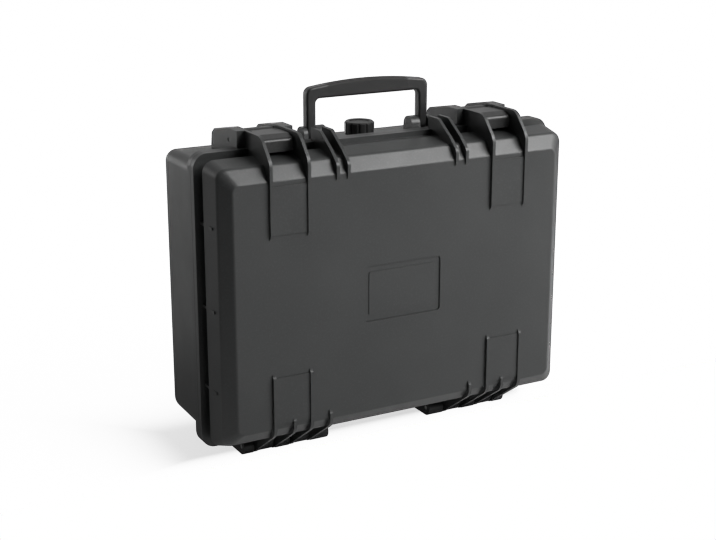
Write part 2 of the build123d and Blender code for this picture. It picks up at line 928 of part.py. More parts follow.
with BuildPart() as handle_pins:
    for side in (1, -1):
        bar(
            side * (handle_gap_x - pin_bite),
            side * (ear_outer_x + ear_outer_width / 2 - pin_recess),
            handle_pivot_y,
            handle_pivot_z,
            handle_pin_radius,
        )
finish(handle_pins, "handle_pins")


# Pressure valve: body, knob, nut, seal ring and membrane, all turned about one line
valve_axis = Axis((0, valve_y, 0), (0, 0, 1))
with BuildPart() as valve_body:
    with BuildSketch(across(valve_y)):
        with BuildLine():
            Polyline(
                (valve_bore_radius, valve_stem_bottom),
                (valve_stem_radius, valve_stem_bottom),
                (valve_stem_radius, valve_seat_z),
                (valve_flange_radius, valve_seat_z),
                (valve_flange_radius, valve_seat_z + valve_flange_thickness),
                (valve_neck_radius, valve_seat_z + valve_flange_thickness),
                (valve_neck_radius, valve_neck_top),
                (membrane_radius + running_clearance, valve_neck_top),
                (membrane_radius + running_clearance, valve_neck_top - membrane_depth),
                (valve_bore_radius, valve_neck_top - membrane_depth),
                close=True,
            )
        make_face()
        with Locations((valve_seal_radius, valve_seat_z)):
            Rectangle(
                valve_seal_section + 2 * running_clearance,
                2 * (valve_seal_section + running_clearance),
                mode=Mode.SUBTRACT,
            )
    revolve(axis=valve_axis)
finish(valve_body, "valve_body")

with BuildPart() as valve_seal_ring:
    with BuildSketch(across(valve_y)):
        with Locations((valve_seal_radius, valve_seat_z + valve_seal_section / 2)):
            Rectangle(valve_seal_section, valve_seal_section)
    revolve(axis=valve_axis)
finish(valve_seal_ring, "valve_seal_ring")

with BuildPart() as valve_membrane:
    with BuildSketch(level(valve_neck_top - membrane_depth)):
        with Locations((0, valve_y)):
            Circle(membrane_radius)
    extrude(amount=membrane_thickness)
finish(valve_membrane, "valve_membrane")

with BuildPart() as valve_nut:
    with BuildSketch(level(valve_nut_top - nut_thickness)):
        with Locations((0, valve_y)):
            RegularPolygon(nut_width / 2, 6, major_radius=False)
            Circle(valve_stem_radius + running_clearance, mode=Mode.SUBTRACT)
    extrude(amount=nut_thickness)
finish(valve_nut, "valve_nut")

with BuildPart() as valve_knob:
    with BuildSketch(level(knob_bottom)):
        with Locations((0, valve_y)):
            Circle(knob_radius)
    extrude(amount=knob_height)
    chamfer(valve_knob.edges().group_by(Axis.Z)[-1], knob_chamfer)
    with BuildSketch(level(knob_bottom)):
        with Locations((0, valve_y)):
            with PolarLocations(knob_radius + knob_flute_radius / 2, knob_flutes):
                Circle(knob_flute_radius)
    extrude(amount=knob_height, mode=Mode.SUBTRACT)
    with BuildSketch(level(knob_bottom)):
        with Locations((0, valve_y)):
            Circle(valve_neck_radius + side_clearance)
    extrude(amount=valve_neck_top + side_clearance - knob_bottom, mode=Mode.SUBTRACT)
    with BuildSketch(level(knob_bottom + knob_height)):
        with Locations((0, valve_y)):
            Circle(knob_radius - knob_rim_width)
    extrude(amount=-knob_recess_depth, mode=Mode.SUBTRACT)
finish(valve_knob, "valve_knob")


# Foam pad over the floor of the base
with BuildPart() as base_foam_pad:
    base_block(pad_front_y, base_floor_y - seat_gap, wall + foam_clearance)
finish(base_foam_pad, "base_foam_pad")

# Foam insert with four pockets, the largest for the camera
with BuildPart() as base_foam_insert:
    base_block(insert_front_y, pad_front_y - seat_gap, wall + foam_clearance)
    side_pocket_width = 2 * foam_side_x - 3 * pocket_border - camera_pocket_width
    low_pocket_height = foam_top - foam_bottom - 3 * pocket_border - camera_pocket_height
    with BuildSketch(across(pad_front_y - seat_gap)):
        for left, width in (
            (pocket_border - foam_side_x, camera_pocket_width),
            (foam_side_x - pocket_border - side_pocket_width, side_pocket_width),
        ):
            for low, height in (
                (foam_top - pocket_border - camera_pocket_height, camera_pocket_height),
                (foam_bottom + pocket_border, low_pocket_height),
            ):
                with Locations((left + width / 2, low + height / 2)):
                    RectangleRounded(width, height, pocket_corner)
        # Room for the valve's stem and nut
        with Locations((0, foam_top)):
            Rectangle(
                valve_notch_width,
                2 * (foam_top - valve_stem_bottom + valve_notch_clearance),
            )
    extrude(amount=pad_front_y - insert_front_y, mode=Mode.SUBTRACT)
finish(base_foam_insert, "base_foam_insert")

# Foam slab in the lid
lid_foam_back = face_inner_y + seat_gap
lid_foam_front = lid_foam_back + lid_foam_thickness
with BuildPart() as lid_foam:
    for y in (lid_foam_back, shoulder_y + wall, lid_foam_front):
        with BuildSketch(across(y)):
            lid_inner_outline(y, foam_clearance)
    loft(ruled=True)
finish(lid_foam, "lid_foam")
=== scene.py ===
import json
from math import radians

import bpy
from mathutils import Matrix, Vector

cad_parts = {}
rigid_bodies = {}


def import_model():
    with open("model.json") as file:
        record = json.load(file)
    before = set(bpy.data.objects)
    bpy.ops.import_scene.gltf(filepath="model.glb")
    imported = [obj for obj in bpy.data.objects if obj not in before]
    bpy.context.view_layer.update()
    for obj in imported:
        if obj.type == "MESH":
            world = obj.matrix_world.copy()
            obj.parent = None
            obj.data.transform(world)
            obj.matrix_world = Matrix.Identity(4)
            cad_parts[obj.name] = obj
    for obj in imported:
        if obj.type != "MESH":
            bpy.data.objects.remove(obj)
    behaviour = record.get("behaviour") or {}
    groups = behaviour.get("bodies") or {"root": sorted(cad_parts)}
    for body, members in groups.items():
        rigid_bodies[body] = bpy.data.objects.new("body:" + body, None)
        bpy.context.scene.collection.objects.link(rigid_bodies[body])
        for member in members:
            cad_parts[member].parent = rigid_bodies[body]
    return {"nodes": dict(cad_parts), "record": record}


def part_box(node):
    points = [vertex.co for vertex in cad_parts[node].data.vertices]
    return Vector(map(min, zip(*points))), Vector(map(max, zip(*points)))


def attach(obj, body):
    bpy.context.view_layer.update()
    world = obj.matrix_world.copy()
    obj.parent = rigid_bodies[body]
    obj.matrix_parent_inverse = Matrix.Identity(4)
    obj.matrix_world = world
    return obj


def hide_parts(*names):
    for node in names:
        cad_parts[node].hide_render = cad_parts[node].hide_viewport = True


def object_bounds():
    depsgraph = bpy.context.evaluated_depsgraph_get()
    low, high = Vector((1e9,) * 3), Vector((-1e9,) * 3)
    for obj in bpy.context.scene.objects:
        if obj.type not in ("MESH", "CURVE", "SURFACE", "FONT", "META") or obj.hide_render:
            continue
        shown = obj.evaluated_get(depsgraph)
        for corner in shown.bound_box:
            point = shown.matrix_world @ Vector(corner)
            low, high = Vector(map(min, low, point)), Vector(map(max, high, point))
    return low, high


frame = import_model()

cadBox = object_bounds()
print("frame loaded:", len(frame["nodes"]), "nodes")


# Selecting, editing and applying

def deselectAll():
    for item in bpy.context.view_layer.objects:
        item.select_set(False)


def selectOnly(piece):
    deselectAll()
    piece.select_set(True)
    bpy.context.view_layer.objects.active = piece


def startEdit(piece, kind, action="DESELECT"):
    # edit mode for vertices, edges or faces, with none or all of them selected
    selectOnly(piece)
    bpy.ops.object.mode_set(mode="EDIT")
    bpy.ops.mesh.select_mode(type=kind)
    bpy.ops.mesh.select_all(action=action)


def endEdit():
    bpy.ops.object.mode_set(mode="OBJECT")


def editVerts(piece, test):
    # edit mode with the vertices selected whose place passes the test
    startEdit(piece, "VERT")
    endEdit()
    for vertex in piece.data.vertices:
        vertex.select = test(vertex.co)
    bpy.ops.object.mode_set(mode="EDIT")


def editEdges(piece, test):
    # edit mode with the edges selected whose two ends pass the test
    startEdit(piece, "EDGE")
    endEdit()
    for edge in piece.data.edges:
        first, second = (piece.data.vertices[i] for i in edge.vertices)
        edge.select = test(first.co, second.co)
        if edge.select:
            first.select = second.select = True
    bpy.ops.object.mode_set(mode="EDIT")


def applyModifier(piece, name):
    selectOnly(piece)
    bpy.ops.object.modifier_apply(modifier=name)


def applyPlace(piece):
    selectOnly(piece)
    bpy.ops.object.transform_apply(location=True, rotation=True, scale=True)


def bevelSharp(piece, width, segments, sharperThan, material=-1):
    # rounds every edge that is sharper than an angle; -1 keeps the material of the faces beside it
    bevel = piece.modifiers.new("edges", "BEVEL")
    bevel.width = width
    bevel.segments = segments
    bevel.limit_method = "ANGLE"
    bevel.angle_limit = radians(sharperThan)
    bevel.material = material
    applyModifier(piece, "edges")


def shadeSmooth(piece, angle):
    selectOnly(piece)
    bpy.ops.object.shade_smooth_by_angle(angle=radians(angle))


def evenNormals(piece):
    # large flat faces set the shading, so that they look flat beside small rounded ones
    normals = piece.modifiers.new("normals", "WEIGHTED_NORMAL")
    normals.weight = 100  # full weight for the larger face
    normals.keep_sharp = True
    applyModifier(piece, "normals")


def giveMaterial(piece, *materials):
    piece.data.materials.clear()
    for material in materials:
        piece.data.materials.append(material)


# Short calls for the nodes of a material or of the world

class NodeKit:
    def __init__(self, owner, shader, coordinates):
        owner.use_nodes = True
        self.owner = owner
        self.tree = owner.node_tree
        self.shader = self.tree.nodes[shader]
        self.place = self.add("ShaderNodeTexCoord").outputs[coordinates]

    def add(self, kind, **settings):
        node = self.tree.nodes.new(kind)
        for key, value in settings.items():
            setattr(node, key, value)
        return node

    def feed(self, socket, value):
        # a socket takes another node's output, a number, or a colour, which gets its alpha here
        if hasattr(value, "links"):
            self.tree.links.new(value, socket)
        elif socket.type == "RGBA":
            socket.default_value = (*value, 1.0)
        else:
            socket.default_value = value

    def shade(self, inputs):
        for name, value in inputs.items():
            self.feed(self.shader.inputs[name], value)

    def noise(self, scale, detail=3.0, roughness=0.55):
        node = self.add("ShaderNodeTexNoise")
        self.feed(node.inputs["Vector"], self.place)
        self.feed(node.inputs["Scale"], scale)
        self.feed(node.inputs["Detail"], detail)
        self.feed(node.inputs["Roughness"], roughness)
        return node.outputs["Fac"]

    def cells(self, scale):
        node = self.add("ShaderNodeTexVoronoi")
        self.feed(node.inputs["Vector"], self.place)
        self.feed(node.inputs["Scale"], scale)
        return node.outputs["Distance"]

    def math(self, operation, *values):
        node = self.add("ShaderNodeMath", operation=operation)
        for socket, value in zip(node.inputs, values):
            self.feed(socket, value)
        return node.outputs["Value"]

    def span(self, value, target, source=(0.0, 1.0), curve="LINEAR"):
        # carries a value from its source range to a target range, and no further than its ends
        node = self.add("ShaderNodeMapRange", interpolation_type=curve)
        self.feed(node.inputs["Value"], value)
        for end, number in zip(("From Min", "From Max", "To Min", "To Max"), (*source, *target)):
            self.feed(node.inputs[end], number)
        return node.outputs["Result"]

    def blend(self, share, first, second):
        node = self.add("ShaderNodeMix", data_type="RGBA")
        sockets = (node.inputs["Factor"], node.inputs[6], node.inputs[7])  # 6 and 7 are the two colours
        for socket, value in zip(sockets, (share, first, second)):
            self.feed(socket, value)
        return node.outputs[2]  # the mixed colour

    def bump(self, height, strength, depth, under=None):
        node = self.add("ShaderNodeBump")
        self.feed(node.inputs["Height"], height)
        self.feed(node.inputs["Strength"], strength)
        self.feed(node.inputs["Distance"], depth)
        if under is not None:
            self.feed(node.inputs["Normal"], under)
        return node.outputs["Normal"]

    def anyRay(self, *rays):
        # 1 for the named kinds of ray, 0 for the others
        path = self.add("ShaderNodeLightPath")
        found = path.outputs[rays[0]]
        for ray in rays[1:]:
            found = self.math("MAXIMUM", found, path.outputs[ray])
        return found


# Materials: every one reads Object coordinates, in metres

def materialKit(name):
    return NodeKit(bpy.data.materials.new(name), "Principled BSDF", "Object")


shellLook = {
    "dark": (0.021, 0.022, 0.022),
    "light": (0.027, 0.028, 0.028),
    "patchScale": 9.0,
    "patchDetail": 4.0,
    "patchRange": (0.35, 0.68),
    "speck": (0.052, 0.053, 0.053),
    "speckShare": 0.3,
    "speckRange": (0.5, 0.75),
    "speckToGrain": 0.5,
    "roughness": (0.38, 0.46),
    "shineScale": 20.7,
    "shineDetail": 5.0,
    "shineRange": (0.3, 0.7),
    "specular": 0.35,
    "grainScale": 900.0,
    "grainDetail": 2.0,
    "grainRoughness": 0.6,
    "grainStrength": 0.35,
    "grainDepth": 0.0002,
    "waveScale": 14.0,
    "waveDetail": 1.0,
    "waveStrength": 0.12,
    "waveDepth": 0.0006,
}
latchLook = dict(
    shellLook,
    dark=(0.010, 0.010, 0.010),
    light=(0.014, 0.014, 0.014),
    roughness=(0.34, 0.44),
    grainScale=1300.0,
)
handleLook = dict(
    latchLook,
    dark=(0.008, 0.008, 0.008),
    light=(0.012, 0.012, 0.012),
    speck=(0.025, 0.025, 0.025),
)
gripLook = dict(
    handleLook,
    dark=(0.014, 0.014, 0.014),
    light=(0.020, 0.020, 0.020),
    roughness=(0.62, 0.74),
    specular=0.2,
    grainScale=1800.0,
    grainStrength=0.5,
)
knobLook = dict(handleLook, roughness=(0.42, 0.52), specular=0.25)


def mouldedPlastic(name, look):
    kit = materialKit(name)
    patches = kit.span(kit.noise(look["patchScale"], look["patchDetail"]), (0.0, 1.0), look["patchRange"])
    colour = kit.blend(patches, look["dark"], look["light"])
    speckNoise = kit.noise(look["grainScale"] * look["speckToGrain"], look["grainDetail"])
    specks = kit.span(speckNoise, (0.0, look["speckShare"]), look["speckRange"])
    shine = kit.noise(look["shineScale"], look["shineDetail"])
    grainNoise = kit.noise(look["grainScale"], look["grainDetail"], look["grainRoughness"])
    grain = kit.bump(grainNoise, look["grainStrength"], look["grainDepth"])
    waveNoise = kit.noise(look["waveScale"], look["waveDetail"])
    kit.shade({
        "Base Color": kit.blend(specks, colour, look["speck"]),
        "Roughness": kit.span(shine, look["roughness"], look["shineRange"]),
        "Specular IOR Level": look["specular"],
        "Normal": kit.bump(waveNoise, look["waveStrength"], look["waveDepth"], grain),
    })
    return kit.owner


def polishedEdgeWithPaintedHighlight(look):
    # the rounded edges are a little lighter and smoother than the flat stretches: handling polishes them
    # smoother, and the lighter colour is a painted highlight
    edge = {"lift": 2.0, "polish": 0.7}
    return dict(
        look,
        dark=tuple(channel * edge["lift"] for channel in look["dark"]),
        light=tuple(channel * edge["lift"] for channel in look["light"]),
        roughness=tuple(value * edge["polish"] for value in look["roughness"]),
    )


def plasticPair(name, look):
    # one material for the flat stretches and one for the rounded edges, whose lighter colour is a painted
    # highlight
    return mouldedPlastic(name, look), mouldedPlastic(name + " edge", polishedEdgeWithPaintedHighlight(look))


def sealRubber():
    look = {
        "dark": (0.010, 0.010, 0.010),
        "light": (0.018, 0.018, 0.018),
        "dustScale": 60.0,
        "dustDetail": 4.0,
        "dustRange": (0.4, 0.7),
        "roughness": (0.45, 0.6),
        "grainScale": 700.0,
        "grainStrength": 0.3,
        "grainDepth": 0.0001,
    }
    kit = materialKit("seal rubber")
    dust = kit.span(kit.noise(look["dustScale"], look["dustDetail"]), (0.0, 1.0), look["dustRange"])
    kit.shade({
        "Base Color": kit.blend(dust, look["dark"], look["light"]),
        "Roughness": kit.span(dust, look["roughness"]),
        "Normal": kit.bump(kit.noise(look["grainScale"]), look["grainStrength"], look["grainDepth"]),
    })
    return kit.owner


def drawnSteel():
    look = {
        "dark": (0.42, 0.42, 0.43),
        "light": (0.6, 0.6, 0.61),
        "roughness": (0.24, 0.4),
        "stretch": 0.04,
        "lineScale": 2200.0,
        "lineDetail": 2.0,
        "lineStrength": 0.15,
        "lineDepth": 0.00005,
    }
    kit = materialKit("drawn steel")
    # fine lines along the rod: the pattern is stretched along X
    mapping = kit.add("ShaderNodeMapping")
    kit.feed(mapping.inputs["Vector"], kit.place)
    kit.feed(mapping.inputs["Scale"], (look["stretch"], 1.0, 1.0))
    kit.place = mapping.outputs["Vector"]
    lines = kit.noise(look["lineScale"], look["lineDetail"])
    kit.shade({
        "Base Color": kit.blend(lines, look["dark"], look["light"]),
        "Roughness": kit.span(lines, look["roughness"]),
        "Normal": kit.bump(lines, look["lineStrength"], look["lineDepth"]),
        "Metallic": 1.0,
    })
    return kit.owner


def ventFilm():
    look = {
        "dark": (0.62, 0.62, 0.60),
        "light": (0.80, 0.80, 0.78),
        "roughness": 0.85,
        "threadScale": 2400.0,
        "threadStrength": 0.4,
        "threadDepth": 0.0001,
    }
    kit = materialKit("vent film")
    threads = kit.cells(look["threadScale"])
    kit.shade({
        "Base Color": kit.blend(threads, look["dark"], look["light"]),
        "Roughness": look["roughness"],
        "Normal": kit.bump(threads, look["threadStrength"], look["threadDepth"]),
    })
    return kit.owner


foamLook = {
    "pore": (0.010, 0.010, 0.011),
    "strut": (0.045, 0.046, 0.050),
    "poreScale": 900.0,
    "poreRange": (0.1, 0.55),
    "poreStrength": 0.7,
    "poreDepth": 0.0005,
    "clumpScale": 120.0,
    "clumpDetail": 4.0,
    "clumpRange": (0.3, 0.7),
    "clumpShare": 0.55,
    "lumpScale": 35.0,
    "lumpDetail": 2.0,
    "lumpStrength": 0.3,
    "lumpDepth": 0.0015,
    "roughness": 0.95,
    "sheen": 0.15,
    "scorePitch": 0.0155,
    "scoreWidth": 0.0005,
    "scoreCore": 0.4,
    "scoreColour": (0.004, 0.004, 0.004),
}


def scoreLines(kit):
    # 0 in the cuts and 1 between them: the insert is scored through its depth into sticks that pull out
    split = kit.add("ShaderNodeSeparateXYZ")
    kit.feed(split.inputs["Vector"], kit.place)
    acrossX, acrossZ = (
        kit.math("PINGPONG", split.outputs[axis], foamLook["scorePitch"] / 2) for axis in ("X", "Z")
    )
    width = foamLook["scoreWidth"]
    return kit.span(kit.math("MINIMUM", acrossX, acrossZ), (0.0, 1.0), (width * foamLook["scoreCore"], width))


def openCellFoam(name, scored=False):
    look = foamLook
    kit = materialKit(name)
    pores = kit.span(kit.cells(look["poreScale"]), (0.0, 1.0), look["poreRange"])
    clumpNoise = kit.noise(look["clumpScale"], look["clumpDetail"])
    clumps = kit.span(clumpNoise, (look["clumpShare"], 1.0), look["clumpRange"])
    colour = kit.blend(kit.math("MULTIPLY", pores, clumps), look["pore"], look["strut"])
    if scored:
        colour = kit.blend(scoreLines(kit), look["scoreColour"], colour)
    lumps = kit.noise(look["lumpScale"], look["lumpDetail"])
    fine = kit.bump(pores, look["poreStrength"], look["poreDepth"])
    kit.shade({
        "Base Color": colour,
        "Roughness": look["roughness"],
        "Sheen Weight": look["sheen"],
        "Normal": kit.bump(lumps, look["lumpStrength"], look["lumpDepth"], fine),
    })
    return kit.owner


shellPlastic = plasticPair("shell plastic", shellLook)
latchPlastic = plasticPair("latch plastic", latchLook)
handlePlastic = plasticPair("handle plastic", handleLook)
gripRubber = plasticPair("grip rubber", gripLook)
knobPlastic = plasticPair("knob plastic", knobLook)
sealBlack = sealRubber()
steel = drawnSteel()
film = ventFilm()
foam = openCellFoam("open cell foam")
scoredFoam = openCellFoam("scored foam", scored=True)
print("materials made")


# Rigid pieces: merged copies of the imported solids, with their sharp edges rounded

edgeShape = {
    "merge": 0.00001,
    "flat": 0.6,  # degrees, as are sharp and smooth
    "sharp": 38,
    "smooth": 32,
    "segments": 2,
}
roundedPieces = [  # node, body, slot, materials and rounding
    ("lid_shell", "lid", "shell", shellPlastic, 0.0004),
    ("base_shell", "base", "shell", shellPlastic, 0.0004),
    ("handle_bow", "handle", "handle", handlePlastic, 0.0003),
    ("handle_grip", "handle", "grip", gripRubber, 0.0003),
    ("valve_knob", "valve_knob", "knob", knobPlastic, 0.0003),
    ("valve_body", "base", "valve", knobPlastic, 0.0002),
    ("valve_nut", "base", "valve", knobPlastic, 0.0003),
    ("lid_seal", "lid", "seal", (sealBlack,), 0.0006),
]
for side in ("left", "right"):
    roundedPieces.append((f"latch_hook_{side}", f"hook_{side}", "latch", latchPlastic, 0.0004))
    roundedPieces.append((f"latch_lever_{side}", f"lever_{side}", "latch", latchPlastic, 0.0005))


def addRoundedCopy(node, body, materials, rounding):
    piece = bpy.data.objects.new(node + "_moulded", frame["nodes"][node].data.copy())
    bpy.context.scene.collection.objects.link(piece)
    startEdit(piece, "FACE", "SELECT")
    bpy.ops.mesh.remove_doubles(threshold=edgeShape["merge"])
    bpy.ops.mesh.dissolve_limited(angle_limit=radians(edgeShape["flat"]))
    endEdit()
    giveMaterial(piece, *materials)
    # the rounded edges take the last material, which for the plastics is the edge one with its painted
    # highlight
    bevelSharp(piece, rounding, edgeShape["segments"], edgeShape["sharp"], len(materials) - 1)
    shadeSmooth(piece, edgeShape["smooth"])
    evenNormals(piece)
    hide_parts(node)
    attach(piece, body)


for node, body, slot, materials, rounding in roundedPieces:
    addRoundedCopy(node, body, materials, rounding)
print("rigid pieces rounded:", len(roundedPieces))


# Foam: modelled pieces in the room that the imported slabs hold

foamShape = {
    "trim": 0.0002,
    "level": 0.0002,  # points no further apart than this are on one level
    "sharp": 50,
    "smooth": 60,
    "softSegments": 3,
    "cornerSegments": 6,
    "fill": 0.9,
}


def outlineAt(node, end):
    # a packed slab's outline at its front or back end, with the radii of its lower and upper corners
    corners = [vertex.co for vertex in frame["nodes"][node].data.vertices]
    depth = end(co.y for co in corners)
    ring = [co for co in corners if abs(co.y - depth) < foamShape["level"]]
    outline = {
        "y": depth,
        "x": max(co.x for co in ring),
        "low": min(co.z for co in ring),
        "high": max(co.z for co in ring),
    }
    upright = [co.z for co in ring if outline["x"] - co.x < foamShape["level"]]
    outline["lowRadius"] = min(upright) - outline["low"]
    outline["highRadius"] = outline["high"] - max(upright)
    return outline


def trimmed(outline):
    # the same outline a little smaller all round
    trim = foamShape["trim"]
    return dict(outline, x=outline["x"] - trim, low=outline["low"] + trim, high=outline["high"] - trim)


def addBlock(name, low, high):
    deselectAll()
    bpy.ops.mesh.primitive_cube_add(
        size=1,
        location=[(a + b) / 2 for a, b in zip(low, high)],
        scale=[b - a for a, b in zip(low, high)],
    )
    block = bpy.context.active_object
    block.name = name
    applyPlace(block)
    return block


def roundDepthEdges(piece, radius, test=lambda z: True):
    # rounds the edges that run along the depth
    editEdges(piece, lambda a, b: abs(a.y - b.y) > foamShape["level"] and test(a.z))
    bpy.ops.mesh.bevel(offset=radius, segments=foamShape["cornerSegments"], affect="EDGES")
    endEdit()


def taperTo(piece, outline, start, test):
    # moves one end of a piece from its starting outline to another
    stretch = (outline["high"] - outline["low"]) / (start["high"] - start["low"])
    editVerts(piece, test)
    bpy.ops.transform.resize(value=(outline["x"] / start["x"], 1, stretch), center_override=(0, 0, 0))
    bpy.ops.transform.translate(value=(0, 0, outline["low"] - start["low"] * stretch))
    endEdit()


def taperedSlab(name, node):
    # a slab between a node's front and back outlines, a little inside both
    front, back = trimmed(outlineAt(node, min)), trimmed(outlineAt(node, max))
    slab = addBlock(name, (-back["x"], front["y"], back["low"]), (back["x"], back["y"], back["high"]))
    middle = (front["y"] + back["y"]) / 2
    taperTo(slab, front, back, lambda co: co.y < middle)
    centre = (back["low"] + back["high"]) / 2
    roundDepthEdges(slab, front["lowRadius"], lambda z: z < centre)
    roundDepthEdges(slab, front["highRadius"], lambda z: z > centre)
    return slab


def cutAway(piece, cutter):
    cut = piece.modifiers.new("cut", "BOOLEAN")
    cut.operation = "DIFFERENCE"
    cut.solver = "EXACT"
    cut.object = cutter
    applyModifier(piece, "cut")
    bpy.data.objects.remove(cutter)


def softenEdges(piece, width):
    bevelSharp(piece, width, foamShape["softSegments"], foamShape["sharp"])
    shadeSmooth(piece, foamShape["smooth"])


def placeFoam(piece, node, body, material):
    evenNormals(piece)
    giveMaterial(piece, material)
    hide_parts(node)
    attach(piece, body)


padShape = {"softness": 0.0015}


def makeBasePad():
    pad = taperedSlab("base_foam_floor", "base_foam_pad")
    softenEdges(pad, padShape["softness"])
    placeFoam(pad, "base_foam_pad", "base", foam)


insertShape = {
    "softness": 0.0014,
    "pocketCorner": 0.010,
    "pocketRoom": 0.0032,
    "notchRoom": 0.003,
    "overcut": 0.02,
}


def makeBaseInsert():
    insert = taperedSlab("base_foam_pockets", "base_foam_insert")
    low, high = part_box("base_foam_insert")
    overcut = insertShape["overcut"]
    front, back = low.y - overcut, high.y + overcut
    pockets = [item for item in frame["record"]["physics"]["openings"] if item["name"].endswith("_pocket")]
    room = insertShape["pocketRoom"]
    for pocket in pockets:
        (x0, _, z0), (x1, _, z1) = pocket["box_m"]
        cutter = addBlock("pocket", (x0 - room, front, z0 - room), (x1 + room, back, z1 + room))
        roundDepthEdges(cutter, insertShape["pocketCorner"])
        cutAway(insert, cutter)
    # a notch at the top for the valve's stem and nut
    nutLow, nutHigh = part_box("valve_nut")
    stemLow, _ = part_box("valve_body")
    room = insertShape["notchRoom"]
    notchLow = (nutLow.x - room, front, stemLow.z - room)
    cutAway(insert, addBlock("notch", notchLow, (nutHigh.x + room, back, high.z + overcut)))
    softenEdges(insert, insertShape["softness"])
    placeFoam(insert, "base_foam_insert", "base", scoredFoam)
    print("base foam cut:", len(pockets), "pockets")


# Egg-crate foam in the lid: a grid with its peaks pulled up and walls down into the lid

crateShape = {
    "pitch": 0.024,
    "cells": 6,  # grid squares along each side of a peak's cell
    "rise": 0.013,
    "reach": 0.0155,
    "margin": 0.0085,
    "corner": 0.003,
    "cornerSegments": 4,
    "cornerLength": 0.004,  # corner edges are longer than this along the depth
    "endDepth": 0.001,  # the bend lies further than this from both ends
    "smooth": 45,
}


def lidFoamOutlines():
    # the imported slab's three outlines: the open side, the bend in its walls and the side at the lid's face
    back, face = outlineAt("lid_foam", max), outlineAt("lid_foam", min)
    nearest, furthest = face["y"] + crateShape["endDepth"], back["y"] - crateShape["endDepth"]
    packed = [vertex.co for vertex in frame["nodes"]["lid_foam"].data.vertices]
    middle = [co for co in packed if nearest < co.y < furthest]
    bend = {
        "y": sum(co.y for co in middle) / len(middle),
        "x": max(co.x for co in middle),
        "low": min(co.z for co in middle),
        "high": max(co.z for co in middle),
    }
    return trimmed(back), trimmed(bend), trimmed(face)


def addPeakGrid(outline):
    # a grid at the bottom of the valleys, with the middle of each cell pulled up
    width, height = 2 * outline["x"], outline["high"] - outline["low"]
    cells = crateShape["cells"]
    columns = round(width / crateShape["pitch"]) * cells
    rows = round(height / crateShape["pitch"]) * cells
    deselectAll()
    bpy.ops.mesh.primitive_grid_add(
        x_subdivisions=columns,
        y_subdivisions=rows,
        size=1,
        location=(0, outline["y"], (outline["low"] + outline["high"]) / 2),
        rotation=(-radians(90), 0, 0),
    )
    crate = bpy.context.active_object
    crate.name = "lid_foam_eggcrate"
    crate.scale = (width, height, 1)
    applyPlace(crate)

    def isPeak(co):
        # the middle of each cell that lies clear of the border
        column = round((co.x + outline["x"]) / width * columns)
        row = round((co.z - outline["low"]) / height * rows)
        border = min(outline["x"] - abs(co.x), co.z - outline["low"], outline["high"] - co.z)
        return border > crateShape["margin"] and column % cells == cells // 2 and row % cells == cells // 2

    editVerts(crate, isPeak)
    bpy.ops.transform.translate(
        value=(0, crateShape["rise"], 0),
        use_proportional_edit=True,
        proportional_edit_falloff="SMOOTH",
        proportional_size=crateShape["reach"],
    )
    endEdit()
    return crate


def makeLidFoam():
    back, bend, face = lidFoamOutlines()
    valley = back["y"] - crateShape["rise"]
    crate = addPeakGrid(dict(back, y=valley))
    # walls down into the lid, where the rim's lowest points step in and the hidden side stays open
    startEdit(crate, "EDGE")
    bpy.ops.mesh.select_non_manifold()
    bpy.ops.mesh.extrude_region_move(TRANSFORM_OT_translate={"value": (0, bend["y"] - valley, 0)})
    endEdit()
    taperTo(crate, bend, back, lambda co: co.y < bend["y"] + foamShape["level"])
    startEdit(crate, "EDGE", "SELECT")
    bpy.ops.mesh.normals_make_consistent(inside=False)
    endEdit()

    def isCorner(a, b):
        level = foamShape["level"]
        sides = min(abs(a.x), abs(b.x)) > face["x"] - level
        ends = min(a.z, b.z) > face["high"] - level or max(a.z, b.z) < face["low"] + level
        return abs(a.y - b.y) > crateShape["cornerLength"] and sides and ends

    editEdges(crate, isCorner)
    bpy.ops.mesh.bevel(offset=crateShape["corner"], segments=crateShape["cornerSegments"], affect="EDGES")
    endEdit()
    shadeSmooth(crate, crateShape["smooth"])
    placeFoam(crate, "lid_foam", "lid", foam)
    print("lid foam made")


makeBasePad()
makeBaseInsert()
makeLidFoam()


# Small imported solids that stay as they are

def dressSmallPieces():
    for node, piece in frame["nodes"].items():
        if piece.hide_render:
            continue
        if "pin" in node:
            giveMaterial(piece, steel)
        elif node == "valve_membrane":
            giveMaterial(piece, film)
        elif node == "valve_seal_ring":
            giveMaterial(piece, sealBlack)


dressSmallPieces()
print("small packed pieces dressed")


# Floor, world, lights and camera

floorShape = {
    "reach": 6.0,
    "edge": -0.035,  # just in front of the hinge, so that the lid shows where it swings down past the floor
}
floorLook = {
    "pale": (0.84, 0.84, 0.84),
    "dim": (0.3, 0.3, 0.3),
    "mottle": (1.0, 1.0, 1.0),
    "mottleScale": 3.0,
    "mottleShare": 0.05,
    "roughness": 0.9,
    "specular": 0.2,
    "glow": 0.7,
    "outerGlow": 30.0,
    "glowPower": 2.0,
    "fade": 0.15,
}


def floorGlow(kit):
    # seen straight it glows white, most of all away from the case, so that a faint shadow shows beside it
    split = kit.add("ShaderNodeSeparateXYZ")
    kit.feed(split.inputs["Vector"], kit.place)
    across, depth = kit.math("ABSOLUTE", split.outputs["X"]), split.outputs["Y"]
    away = kit.span(depth, (0.0, 1.0), (0.0, floorShape["edge"]))
    highCorner = cadBox[1]
    for distance, caseEnd in ((across, highCorner.x), (depth, highCorner.y)):
        beyond = kit.span(distance, (0.0, 1.0), (caseEnd, caseEnd + floorLook["fade"]))
        away = kit.math("MAXIMUM", away, beyond)
    growth = kit.math("POWER", away, floorLook["glowPower"])
    glow = kit.span(growth, (floorLook["glow"], floorLook["outerGlow"]))
    return kit.math("MULTIPLY", glow, kit.anyRay("Is Camera Ray"))


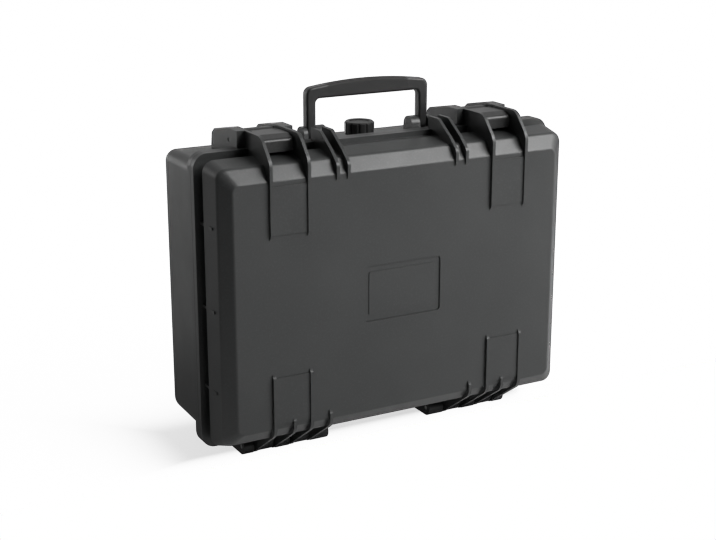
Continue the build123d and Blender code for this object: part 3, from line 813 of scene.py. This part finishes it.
def paleFloor():
    look = floorLook
    kit = materialKit("pale floor")
    # pale in mirrored and glass rays, dimmer as bounced light
    mirrored = kit.anyRay("Is Glossy Ray", "Is Transmission Ray")
    colour = kit.blend(mirrored, look["dim"], look["pale"])
    mottle = kit.span(kit.noise(look["mottleScale"]), (0.0, look["mottleShare"]))
    kit.shade({
        "Base Color": kit.blend(mottle, colour, look["mottle"]),
        "Roughness": look["roughness"],
        "Specular IOR Level": look["specular"],
        "Emission Color": (1.0, 1.0, 1.0),
        "Emission Strength": floorGlow(kit),
    })
    return kit.owner


def addFloorPart(name, near, far, material):
    deselectAll()
    bpy.ops.mesh.primitive_plane_add(size=1, location=(0, (near + far) / 2, 0))
    part = bpy.context.active_object
    part.name = name
    part.scale = (2 * floorShape["reach"], far - near, 1)
    applyPlace(part)
    giveMaterial(part, material)
    return part


def makeFloor():
    material = paleFloor()
    shown = addFloorPart("floor", floorShape["edge"], floorShape["reach"], material)
    shown.is_shadow_catcher = True
    # in front it only reflects light up onto the case
    unseen = addFloorPart("floor_light", -floorShape["reach"], floorShape["edge"], material)
    unseen.visible_camera = False
    unseen.visible_shadow = False


def makeWorld():
    # white to the camera; as light it is bright behind the case and dim on the camera's side
    look = {
        "brightSide": (0.1, 0.95, 0.2),
        "brightness": (0.04, 0.7),
        "fromDimToBright": (-0.75, 0.6),
        "diffuseShare": 0.22,
    }
    world = bpy.data.worlds.new("studio")
    bpy.context.scene.world = world
    kit = NodeKit(world, "Background", "Generated")
    towards = kit.add("ShaderNodeVectorMath", operation="DOT_PRODUCT")
    kit.feed(towards.inputs[0], kit.place)
    kit.feed(towards.inputs[1], look["brightSide"])
    surround = kit.span(towards.outputs["Value"], look["brightness"], look["fromDimToBright"], "SMOOTHSTEP")
    # mirrored and glass rays get the surround whole, diffuse ones a share of it
    share = kit.span(kit.anyRay("Is Glossy Ray", "Is Transmission Ray"), (look["diffuseShare"], 1.0))
    light = kit.math("MULTIPLY", surround, share)
    kit.shade({
        "Color": (1.0, 1.0, 1.0),
        "Strength": kit.math("MAXIMUM", kit.anyRay("Is Camera Ray"), light),
    })


softboxes = {
    "key": {"place": (0.95, -1.15, 1.4), "aim": (0, 0, 0.2), "size": (1.2, 0.9), "power": 54},
    "right": {"place": (1.6, -0.9, 0.6), "aim": (0, 0, 0.2), "size": (0.6, 0.9), "power": 15},
    "rimLeft": {"place": (-1.2, 1.6, 0.7), "aim": (0, 0, 0.2), "size": (0.8, 0.8), "power": 4},
    "back": {"place": (0.3, 1.9, 0.17), "aim": (0, 0, 0.17), "size": (1.8, 0.34), "power": 12},
}


def addSoftbox(name, place, aim, size, power):
    light = bpy.data.objects.new(name, bpy.data.lights.new(name, "AREA"))
    bpy.context.scene.collection.objects.link(light)
    light.data.shape = "RECTANGLE"
    light.data.size, light.data.size_y = size
    light.data.energy = power
    light.location = place
    direction = Vector(aim) - Vector(place)
    light.rotation_euler = direction.to_track_quat("-Z", "Y").to_euler()


cameraView = {
    "place": (-0.7594, -1.3599, 0.6465),
    "turn": 28.678,
    "tilt": 16.512,
    "lens": 71.56,
}


def makeCamera():
    camera = bpy.data.objects.new("camera", bpy.data.cameras.new("camera"))
    bpy.context.scene.collection.objects.link(camera)
    camera.location = cameraView["place"]
    camera.rotation_euler = (radians(90 - cameraView["tilt"]), 0, -radians(cameraView["turn"]))
    camera.data.lens = cameraView["lens"]
    bpy.context.scene.camera = camera


makeFloor()
makeWorld()
for name, box in softboxes.items():
    addSoftbox(name, **box)
makeCamera()
bpy.context.scene.view_settings.view_transform = "Standard"
print("studio set")
